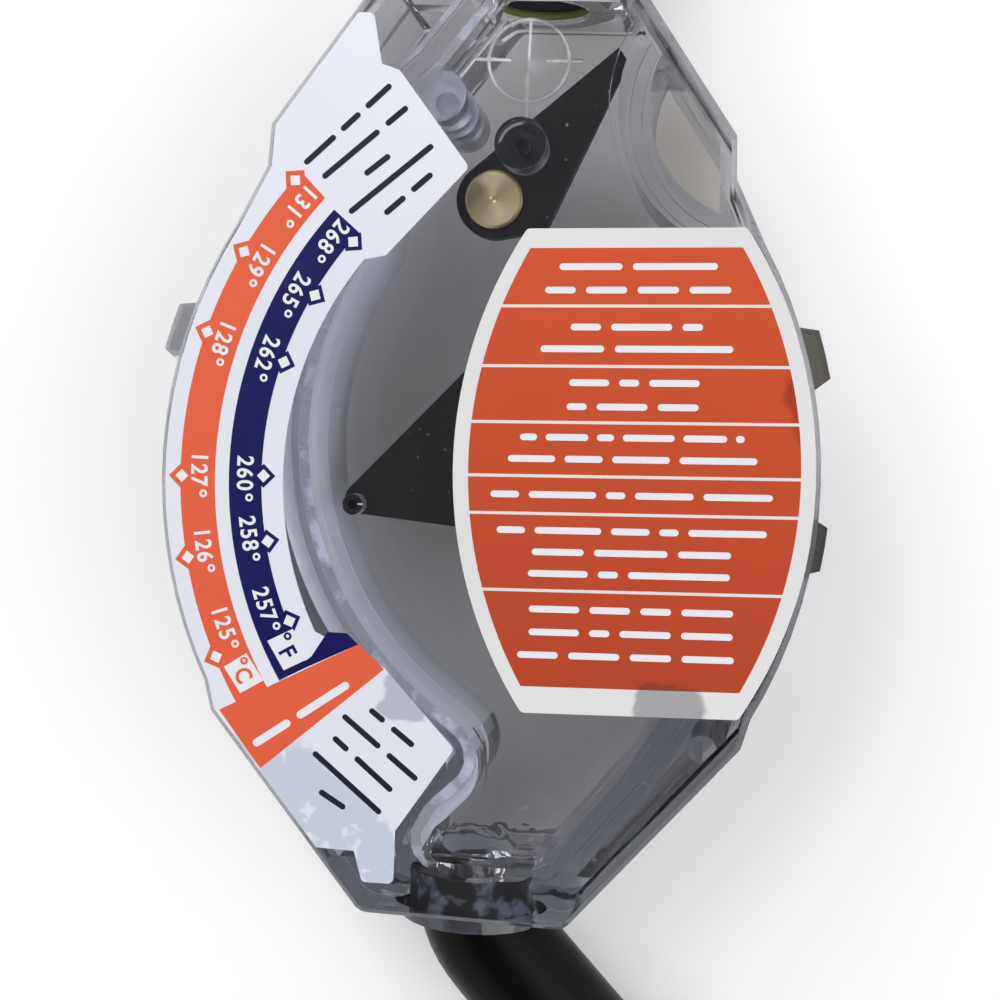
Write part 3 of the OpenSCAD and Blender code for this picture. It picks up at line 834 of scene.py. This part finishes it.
signs = {s: glyph(s) for s in "012345678CF"}
six, six_faces = signs["6"]
signs["9"] = ([0, 1] - six, six_faces)
digit_tall, digit_step = 2.35, 1.66
digit_wide, digits_back = 0.92, 1.45
degree_outer, degree_inner, degree_in, degree_after = 0.55, 0.25, 0.55, 1.58
numbers = {131: (58.6, 142.4), 129: (58.6, 151.8), 128: (58.8, 163.4), 127: (58.8, 181.4),
           126: (58.8, 191.6), 125: (58.6, 202.4), 268: (52.2, 143.3), 265: (52.3, 153.0),
           262: (52.3, 163.4), 260: (52.3, 181.8), 258: (52.2, 190.9), 257: (52.2, 201.9)}
sign_slabs, ring_slabs = [], []
for number, (r, middle) in numbers.items():
    step_deg = math.degrees(digit_step / r)
    for k, sign in enumerate(str(number)):
        a = middle + (k - digits_back) * step_deg
        t = math.radians(a)
        sign_slabs.append(sign_slab(signs[sign], polar(r, a), (-math.sin(t), math.cos(t)),
                                    digit_tall, digit_wide, mark_low, mark_high))
    ring_slabs.append(ring_slab(polar(r - degree_in, middle + degree_after * step_deg),
                                degree_outer, degree_inner, mark_low, mark_high))
printed("dial_coral_print", coral_slabs, coral)
printed("dial_navy_print", navy_slabs, navy)
printed("dial_white_print", white_slabs, white)
printed("dial_numbers", sign_slabs + ring_slabs, white)
unit_low, unit_high = mark_high - ink_t / 2, mark_high + ink_t
unit_along, unit_tall = (0.52, -0.85), 2.45
for name, sign, at, wide, degree_at, unit_ink in (
        ("dial_unit_c", "C", (-31.75, -28.75), 0.85, (-31.75, -26.75), coral),
        ("dial_unit_f", "F", (-25.6, -25.2), 0.95, (-25.75, -22.95), navy)):
    printed(name, [
        sign_slab(signs[sign], at, unit_along, unit_tall, wide, unit_low, unit_high),
        ring_slab(degree_at, degree_outer, degree_inner, unit_low, unit_high)],
        unit_ink)


def dash(start, end, thick, cap_steps=6):
    """A round-ended dash between two points: edges above and below its middle line."""
    a, b = np.array(start, float), np.array(end, float)
    way = (b - a) / np.linalg.norm(b - a)
    up = np.array([-way[1], way[0]])
    turn = np.linspace(0, math.pi / 2, cap_steps)
    cap = thick / 2
    along = np.concatenate([cap * (1 - np.cos(turn)),
                            np.linalg.norm(b - a) - cap * (1 - np.cos(turn[::-1]))])
    half = np.concatenate([cap * np.sin(turn), cap * np.sin(turn[::-1])])
    middle = a + along[:, None] * way
    return middle + half[:, None] * up, middle - half[:, None] * up


def line_of_dashes(start, end, lengths, thick):
    """A line of plain dashes of given lengths, with gaps of one between them, fitted to its ends."""
    a, b = np.array(start, float), np.array(end, float)
    total = sum(lengths) + len(lengths) - 1
    place, found = 0, []
    for length in lengths:
        after = place + length
        found.append(dash(a + (b - a) * place / total, a + (b - a) * after / total, thick))
        place = after + 1
    return found


dial_dash, band_dash = 0.8, 1.1
dial_lines = [((-15.0, 52.4), (-26.4, 41.5), (4, 3, 5)), ((-12.6, 49.5), (-23.8, 39.7), (3, 8)),
              ((-14.7, 43.0), (-18.0, 40.3), (3,)), ((-8.9, 44.5), (-19.9, 35.1), (10,)),
              ((-8.8, 40.7), (-15.0, 35.1), (3, 3)), ((-13.8, -32.2), (-7.5, -36.8), (2, 3)),
              ((-17.5, -33.3), (-6.8, -41.4), (5, 4)), ((-18.7, -36.4), (-10.2, -43.2), (2, 5)),
              ((-21.4, -38.7), (-11.6, -46.4), (8,)), ((-20.3, -44.0), (-16.6, -46.1), (3,))]
printed("dial_black_print", [
    strip(*edges, ink_low, ink_high) for a, b, lengths in dial_lines
    for edges in line_of_dashes(a, b, lengths, dial_dash)], black)
printed("dial_band_print", [
    strip(*edges, mark_low, mark_high)
    for edges in line_of_dashes((-16.9, -28.9), (-29.9, -38.3), (7, 5), band_dash)],
    white)

# Instruction label
# A barrel-shaped white film, stuck over the float's pivot. Seven orange panels are printed on it,
# with rows of plain white dashes.
note_film = finish_material("note_film", 0.34)
note_cloud = place_group(note_film, grain, Scale=45, Detail=3)
damp_low = dict(Centre=(26.9 * MM, -29.6 * MM, label_top), From=8.0 * MM, To=7.0 * MM)
damp_side = dict(Centre=(46.0 * MM, 12.5 * MM, label_top), From=10.2 * MM, To=8.8 * MM)
note_white = blended(note_film, note_cloud, (0.74, 0.74, 0.75), (0.85, 0.85, 0.85))
painted(note_film, place_group(note_film, spot, **damp_low), note_white, (0.40, 0.40, 0.42))
varied(note_film, "Roughness", note_cloud, 0.28, 0.42)
lamps_through(note_film, film_lamps)
coated("instruction_label", note_film)
note_at, note_turn = np.array([20.2, 1.9]), math.radians(2.2)
note_end, note_mid, note_half_h = 14.5, 24.2, 32.5
note_border = 2.1


def on_note(points):
    """Points of the note's own upright frame, turned and moved to where it is stuck."""
    p = np.array(points, float)
    c, s = math.cos(note_turn), math.sin(note_turn)
    return note_at + p @ np.array([[c, s], [-s, c]])


def note_side(y):
    """Half-width of the note's panels at a height: a circle through its ends and middle."""
    sag = note_mid - note_end
    radius = (note_half_h ** 2 + sag ** 2) / (2 * sag)
    return np.sqrt(radius ** 2 - y ** 2) - (radius - note_mid) - note_border


# The orange panels run lighter at the top and darker towards the bottom: painted shade, as the light
# falls off down the label.
painted_shade_top, painted_shade_low = 34 * MM, -30 * MM
orange = finish_material("orange_ink", 0.36, Specular_IOR_Level=0.2)
orange_place = add_node(orange.node_tree, "ShaderNodeTexCoord")
orange_axes = add_node(orange.node_tree, "ShaderNodeSeparateXYZ", {0: orange_place.outputs["Object"]})
orange_painted_shade = add_node(
    orange.node_tree, "ShaderNodeMapRange",
    {"Value": orange_axes.outputs["Y"], "From Min": painted_shade_top, "From Max": painted_shade_low})
orange_uneven = place_group(orange, grain, Scale=140, Detail=5)
orange_plain = blended(orange, orange_painted_shade.outputs["Result"], (0.70, 0.105, 0.036),
                       (0.50, 0.066, 0.026))
orange_dark = blended(orange, orange_painted_shade.outputs["Result"], (0.63, 0.088, 0.030),
                      (0.44, 0.056, 0.022))
orange_dry = blended(orange, orange_uneven, orange_plain, orange_dark)
orange_low = blended(orange, place_group(orange, spot, **damp_low), orange_dry, (0.27, 0.055, 0.028))
painted(orange, place_group(orange, spot, **damp_side), orange_low, (0.40, 0.052, 0.020))
varied(orange, "Roughness", orange_uneven, 0.28, 0.44)
lamps_through(orange, ink_lamps)
panel_ends = [30.1, 22.2, 14.2, 6.7, -0.5, -5.55, -15.9, -29.1]
panel_gap, panel_steps, note_dash = 0.42, 9, 0.9
panel_slabs = []
for top_y, low_y in zip(panel_ends, panel_ends[1:]):
    y = np.linspace(top_y - panel_gap / 2, low_y + panel_gap / 2, panel_steps)
    panel_slabs.append(strip(on_note(np.stack([-note_side(y), y], -1)),
                             on_note(np.stack([note_side(y), y], -1)), ink_low, ink_high))
printed("note_orange_print", panel_slabs, orange)
note_lines = [(-10.1, 10.8, 27.4, (6, 8)), (-12.0, 12.6, 24.3, (3, 4, 4, 4)),
              (-8.5, 9.0, 19.4, (3, 6, 2)), (-12.5, 13.0, 16.5, (6, 11)),
              (-8.6, 8.7, 12.0, (4, 2, 5)), (-8.9, 8.6, 8.8, (2, 5, 4)),
              (-15.1, 14.7, 4.7, (2, 5, 2, 6, 5, 1)), (-16.7, 16.4, 1.8, (5, 4, 6, 8)),
              (-19.0, 18.5, -3.0, (3, 7, 2, 6, 7)), (-18.1, 17.8, -7.8, (3, 7, 4, 2, 8)),
              (-13.3, 13.2, -10.7, (5, 7, 5)), (-13.8, 13.1, -13.6, (6, 2, 10)),
              (-13.6, 13.6, -18.4, (5, 4, 3, 5)), (-13.6, 13.6, -21.5, (5, 2, 5, 5)),
              (-15.1, 13.8, -24.6, (4, 5, 4, 5))]
printed("note_white_print", [
    strip(*edges, mark_low, mark_high) for x0, x1, y, lengths in note_lines
    for edges in line_of_dashes(on_note((x0, y)), on_note((x1, y)), lengths, note_dash)],
    white)

# Neck seal
# A yellow-green rubber ring with rounded lips. It lies in the collar at the top of the body,
# pressed flat under the bulb's neck.
seal_low, seal_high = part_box("neck_seal")
seal_rubber = finish_material("seal_rubber", 0.5)
seal_grain = place_group(seal_rubber, grain, Scale=700, Detail=4)
painted(seal_rubber, seal_grain, (0.20, 0.23, 0.035), (0.34, 0.38, 0.07))
bumped(seal_rubber, seal_grain, strength=0.3, distance=0.1 * MM)
seal_r, seal_bore = (seal_high.x - seal_low.x) / 2, 6.75 * MM
seal_axis = ((seal_low.x + seal_high.x) / 2, 0, (seal_low.z + seal_high.z) / 2)
seal_steps, seal_sides = 24, 72


def lipped_profile(outer, bore, low, high):
    """Profile of a flat ring with round lips: a circle, its two halves moved apart to the edges."""
    half = (high - low) / 2
    turn = np.linspace(0, 2 * math.pi, seal_steps, endpoint=False)
    apart = ((outer - bore) / 2 - half) * np.sign(np.cos(turn))
    return np.stack([(outer + bore) / 2 + apart + half * np.cos(turn),
                     (low + high) / 2 + half * np.sin(turn)], -1)


seal = turned("neck_seal_ring", seal_axis, lipped_profile(seal_r, seal_bore, seal_low.y, seal_high.y),
              seal_sides, seal_rubber, along="Y")
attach(seal, "body")
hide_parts("neck_seal")

# Squeeze bulb
# A dark rubber bulb that is squeezed and let go to draw coolant up. Its neck is pushed into the
# collar at the top of the body, with a moulded bead where it comes out.
bulb_rubber = finish_material("bulb_rubber", 0.5)
bulb_grain = place_group(bulb_rubber, grain, Scale=900, Detail=5)
bulb_bloom = place_group(bulb_rubber, blotches, Scale=45, Detail=4, From=0.42, To=0.72)
painted(bulb_rubber, bulb_bloom, (0.016, 0.018, 0.013), (0.040, 0.042, 0.034))
varied(bulb_rubber, "Roughness", bulb_grain, 0.42, 0.62)
bumped(bulb_rubber, bulb_grain, strength=0.3, distance=0.08 * MM)
bulb_low, bulb_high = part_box("squeeze_bulb")
bulb_axis = ((bulb_low.x + bulb_high.x) / 2, 0, (bulb_low.z + bulb_high.z) / 2)
bulb_r = (bulb_high.x - bulb_low.x) / 2
neck_r, bulb_wall = 9.25 * MM, 2.5 * MM
collar_top, flare_end = 76 * MM, 87 * MM
bead_high, bead_long, bead_gap, flare_gap = 1.0 * MM, 1.6 * MM, 0.2 * MM, 2 * MM
crown_steps, flare_steps, bead_steps, bulb_sides = 20, 12, 9, 96


def bulb_side(shrunk, raised):
    """Flare and crown of the bulb, made smaller for its inside.

    The flare widens from the neck by 3t^2 - 2t^3, and the crown is a quarter circle."""
    flare = np.linspace(0, 1, flare_steps)
    flare_r = neck_r + (bulb_r - neck_r) * (3 * flare ** 2 - 2 * flare ** 3) - shrunk
    flare_y = collar_top + flare_gap + (flare_end - collar_top) * flare + raised
    crown = np.linspace(0, math.pi / 2, crown_steps)
    crown_r = (bulb_r - shrunk) * np.cos(crown)
    crown_y = bulb_high.y - bulb_r + (bulb_r - shrunk) * np.sin(crown)
    return [*zip(flare_r, flare_y), *zip(crown_r, crown_y)]


bead = np.linspace(0, math.pi, bead_steps)
bead_r = neck_r + bead_high * np.sin(bead)
bead_y = collar_top + bead_gap + bead_long * (1 - np.cos(bead)) / 2
bulb_profile = [(neck_r, bulb_low.y), *zip(bead_r, bead_y), *bulb_side(0, 0),
                *bulb_side(bulb_wall, bulb_wall / 2)[::-1], (neck_r - bulb_wall, bulb_low.y)]
bulb = turned("bulb", bulb_axis, bulb_profile, bulb_sides, bulb_rubber, along="Y")
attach(bulb, "body")
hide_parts("squeeze_bulb")

# Hose
# A thick black rubber hose, pushed into the mouth at the bottom and bent to the right. It comes
# down to the surface and lies there in one easy curve, cut off square at its free end.
hose_route = np.array([
    (0, -55.9, 14), (0, -58.9, 14), (0.6, -61.7, 14), (2.1, -65.1, 14), (5, -68.7, 14),
    (13, -77.2, 13.46), (23, -87.9, 11.84), (33, -98.9, 10.22), (42, -109.9, 9.14),
    (50, -121.9, 8.6), (56, -134.9, 8.6), (60, -148.9, 8.6), (61.5, -163.9, 8.6),
    (61, -178.9, 8.6), (58.5, -193.9, 8.6), (54, -207.9, 8.6)]) * MM
hose_d, hose_bore = 17 * MM, 10 * MM
hose_sides, hose_rings = 48, 120


def along_route(points, count, steps=24):
    """Evenly spaced points on a smooth curve through a route, its direction at each, its length.

    Between two points the curve is a cubic whose slopes come from their neighbours."""
    p = np.vstack([2 * points[0] - points[1], points, 2 * points[-1] - points[-2]])
    t = np.linspace(0, 1, steps, endpoint=False)[:, None]
    pieces = [0.5 * (2 * b + (c - a) * t + (2 * a - 5 * b + 4 * c - d) * t ** 2
                     + (3 * b - a - 3 * c + d) * t ** 3)
              for a, b, c, d in zip(p, p[1:], p[2:], p[3:])]
    dense = np.vstack(pieces + [points[-1:]])
    far = np.concatenate([[0], np.cumsum(np.linalg.norm(np.diff(dense, axis=0), axis=1))])
    want = np.linspace(0, far[-1], count)
    line = np.stack([np.interp(want, far, dense[:, k]) for k in range(3)], -1)
    way = np.gradient(line, axis=0)
    return line, way / np.linalg.norm(way, axis=1)[:, None], far[-1]


def tube(line, way, station, radius, pushed):
    """Points of a tube: at each station, a circle of its radius about a line, square to it.

    A circle starts level and turns by way of the upper side. It may be pushed along the line."""
    across = np.cross((0, 0, 1), way)
    across /= np.linalg.norm(across, axis=1)[:, None]
    up = np.cross(way, across)
    turn = np.linspace(0, 2 * math.pi, hose_sides, endpoint=False)[:, None]
    ring_way = np.cos(turn) * across[station, None] + np.sin(turn) * up[station, None]
    ring_at = line[station] + pushed[:, None] * way[station]
    return ring_at[:, None] + radius[:, None, None] * ring_way


lip, hose_sharp = 0.5 * MM, math.radians(50)
outer_r, inner_r = hose_d / 2, hose_bore / 2
hose_line, hose_way, hose_length = along_route(hose_route, hose_rings)
station = np.concatenate([[0], np.arange(hose_rings - 1), [hose_rings - 1] * 4,
                          np.arange(hose_rings - 2, -1, -1)])
station_r = np.concatenate([[outer_r - lip], np.full(hose_rings - 1, outer_r),
                            [outer_r, outer_r - lip, inner_r + lip, inner_r],
                            np.full(hose_rings - 1, inner_r)])
pushed = np.concatenate([np.zeros(hose_rings), [-lip, 0, 0, -lip], np.zeros(hose_rings - 1)])
hose_points = tube(hose_line, hose_way, station, station_r, pushed)
row, column = wrapped_grid(len(station), hose_sides)
hose_faces = row % len(station) * hose_sides + column % hose_sides
hose_mesh = bpy.data.meshes.new("suction_hose")
hose_mesh.from_pydata(hose_points.reshape(-1, 3).tolist(), [], hose_faces.tolist())
hose_far = station * hose_length / hose_rings
hose_v = np.concatenate([[0], np.cumsum(np.hypot(np.diff(hose_far), np.diff(station_r)))])
hose_uv = np.stack([column / hose_sides, hose_v[row % len(station)]], -1)
hose_mesh.uv_layers.new(name="wrap").data.foreach_set("uv", hose_uv.reshape(-1).astype(np.float32))
work = bmesh.new()
work.from_mesh(hose_mesh)
bmesh.ops.recalc_face_normals(work, faces=work.faces)
work.to_mesh(hose_mesh)
work.free()
hose_mesh.shade_smooth()
hose_mesh.set_sharp_from_angle(angle=hose_sharp)
hose_rubber = finish_material("hose_rubber", 0.36, Specular_IOR_Level=0.09)
hose_wrap = add_node(hose_rubber.node_tree, "ShaderNodeUVMap", uv_map="wrap")
hose_stretch = add_node(hose_rubber.node_tree, "ShaderNodeMapping",
                        {"Vector": hose_wrap.outputs["UV"], "Scale": (60, 40, 1)})
hose_noise = add_node(hose_rubber.node_tree, "ShaderNodeTexNoise",
                      {"Vector": hose_stretch.outputs["Vector"], "Scale": 1, "Detail": 4})
hose_streak = hose_noise.outputs["Fac"]
hose_dust = place_group(hose_rubber, blotches, Scale=120, Detail=5, From=0.55, To=0.85)
hose_base = blended(hose_rubber, hose_streak, (0.0018, 0.0018, 0.0017), (0.0040, 0.0042, 0.0038))
painted(hose_rubber, hose_dust, hose_base, (0.009, 0.009, 0.009))
varied(hose_rubber, "Roughness", hose_streak, 0.22, 0.46)
bumped(hose_rubber, hose_streak, strength=0.3, distance=0.1 * MM)
hose_mesh.materials.append(hose_rubber)
hose = in_scene("suction_hose", hose_mesh)
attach(hose, "body")
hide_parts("hose")

# Floor and light
# A pale plain floor, which fades to white far out, under soft light from two large lamps. The
# surround is white at the sides and dim overhead, so that the clear face shows no glare.
floor_mesh = bpy.data.meshes.new("floor")
floor_half, paper_z = 0.8, -0.4 * MM
floor_mesh.from_pydata([(x * floor_half, y * floor_half, paper_z)
                        for x, y in ((-1, -1), (1, -1), (1, 1), (-1, 1))], [], [(0, 1, 2, 3)])
floor = in_scene("floor", floor_mesh)
paper = finish_material("pale_paper", 0.9, Emission_Color=(1, 1, 1, 1), Emission_Strength=0.16)
paper_grain = place_group(paper, grain, Scale=300, Detail=3)
painted(paper, paper_grain, (0.93, 0.93, 0.93), (0.95, 0.95, 0.95))
far_starts, far_ends = 0.25, 0.6


def seen_rays(owner):
    """Mask of the rays that show the surround: the camera's, and those from gloss and clear stuff."""
    rays = add_node(owner.node_tree, "ShaderNodeLightPath").outputs
    return joined(owner, "MAXIMUM", rays["Is Camera Ray"], rays["Is Glossy Ray"],
                  rays["Is Transmission Ray"])


paper_far = place_group(paper, spot, Centre=(0, 0, 0), From=far_starts, To=far_ends)
paper_white = add_node(paper.node_tree, "ShaderNodeEmission")
surface_mix(paper, joined(paper, "MULTIPLY", paper_far, seen_rays(paper)), paper_white)
floor_mesh.materials.append(paper)
lamps_aim, lamps_width = Vector((0, 0, 0.02)), 0.80


def lamp(name, at, watts):
    """A square soft lamp at a place, turned to face the object."""
    data = bpy.data.lights.new(name, "AREA")
    data.shape = "SQUARE"
    data.size = lamps_width
    data.energy = watts
    piece = in_scene(name, data)
    piece.location = at
    piece.rotation_euler = (lamps_aim - Vector(at)).to_track_quat("-Z", "Y").to_euler()


lamp("key_lamp", at=(-0.45, 0.42, 0.55), watts=5.2)
lamp("fill_lamp", at=(0.60, -0.15, 0.50), watts=4.2)
soft_light, white_side, dim_top = 0.25, 1.0, 0.1
side_ends, top_starts = 0.6, 0.88
world = bpy.data.worlds.new("surround")
bpy.context.scene.world = world
world.use_nodes = True
sky = world.node_tree.nodes["Background"]
sky.inputs["Color"].default_value = (1, 1, 1, 1)
direction = add_node(world.node_tree, "ShaderNodeTexCoord")
axes = add_node(world.node_tree, "ShaderNodeSeparateXYZ", {0: direction.outputs["Generated"]})
ceiling = add_node(
    world.node_tree, "ShaderNodeMapRange",
    {"Value": axes.outputs["Z"], "From Min": side_ends, "From Max": top_starts,
     "To Min": white_side, "To Max": dim_top})
strength = add_node(
    world.node_tree, "ShaderNodeMix",
    {"Factor": seen_rays(world), "A": soft_light, "B": ceiling.outputs["Result"]})
world.node_tree.links.new(strength.outputs["Result"], sky.inputs["Strength"])
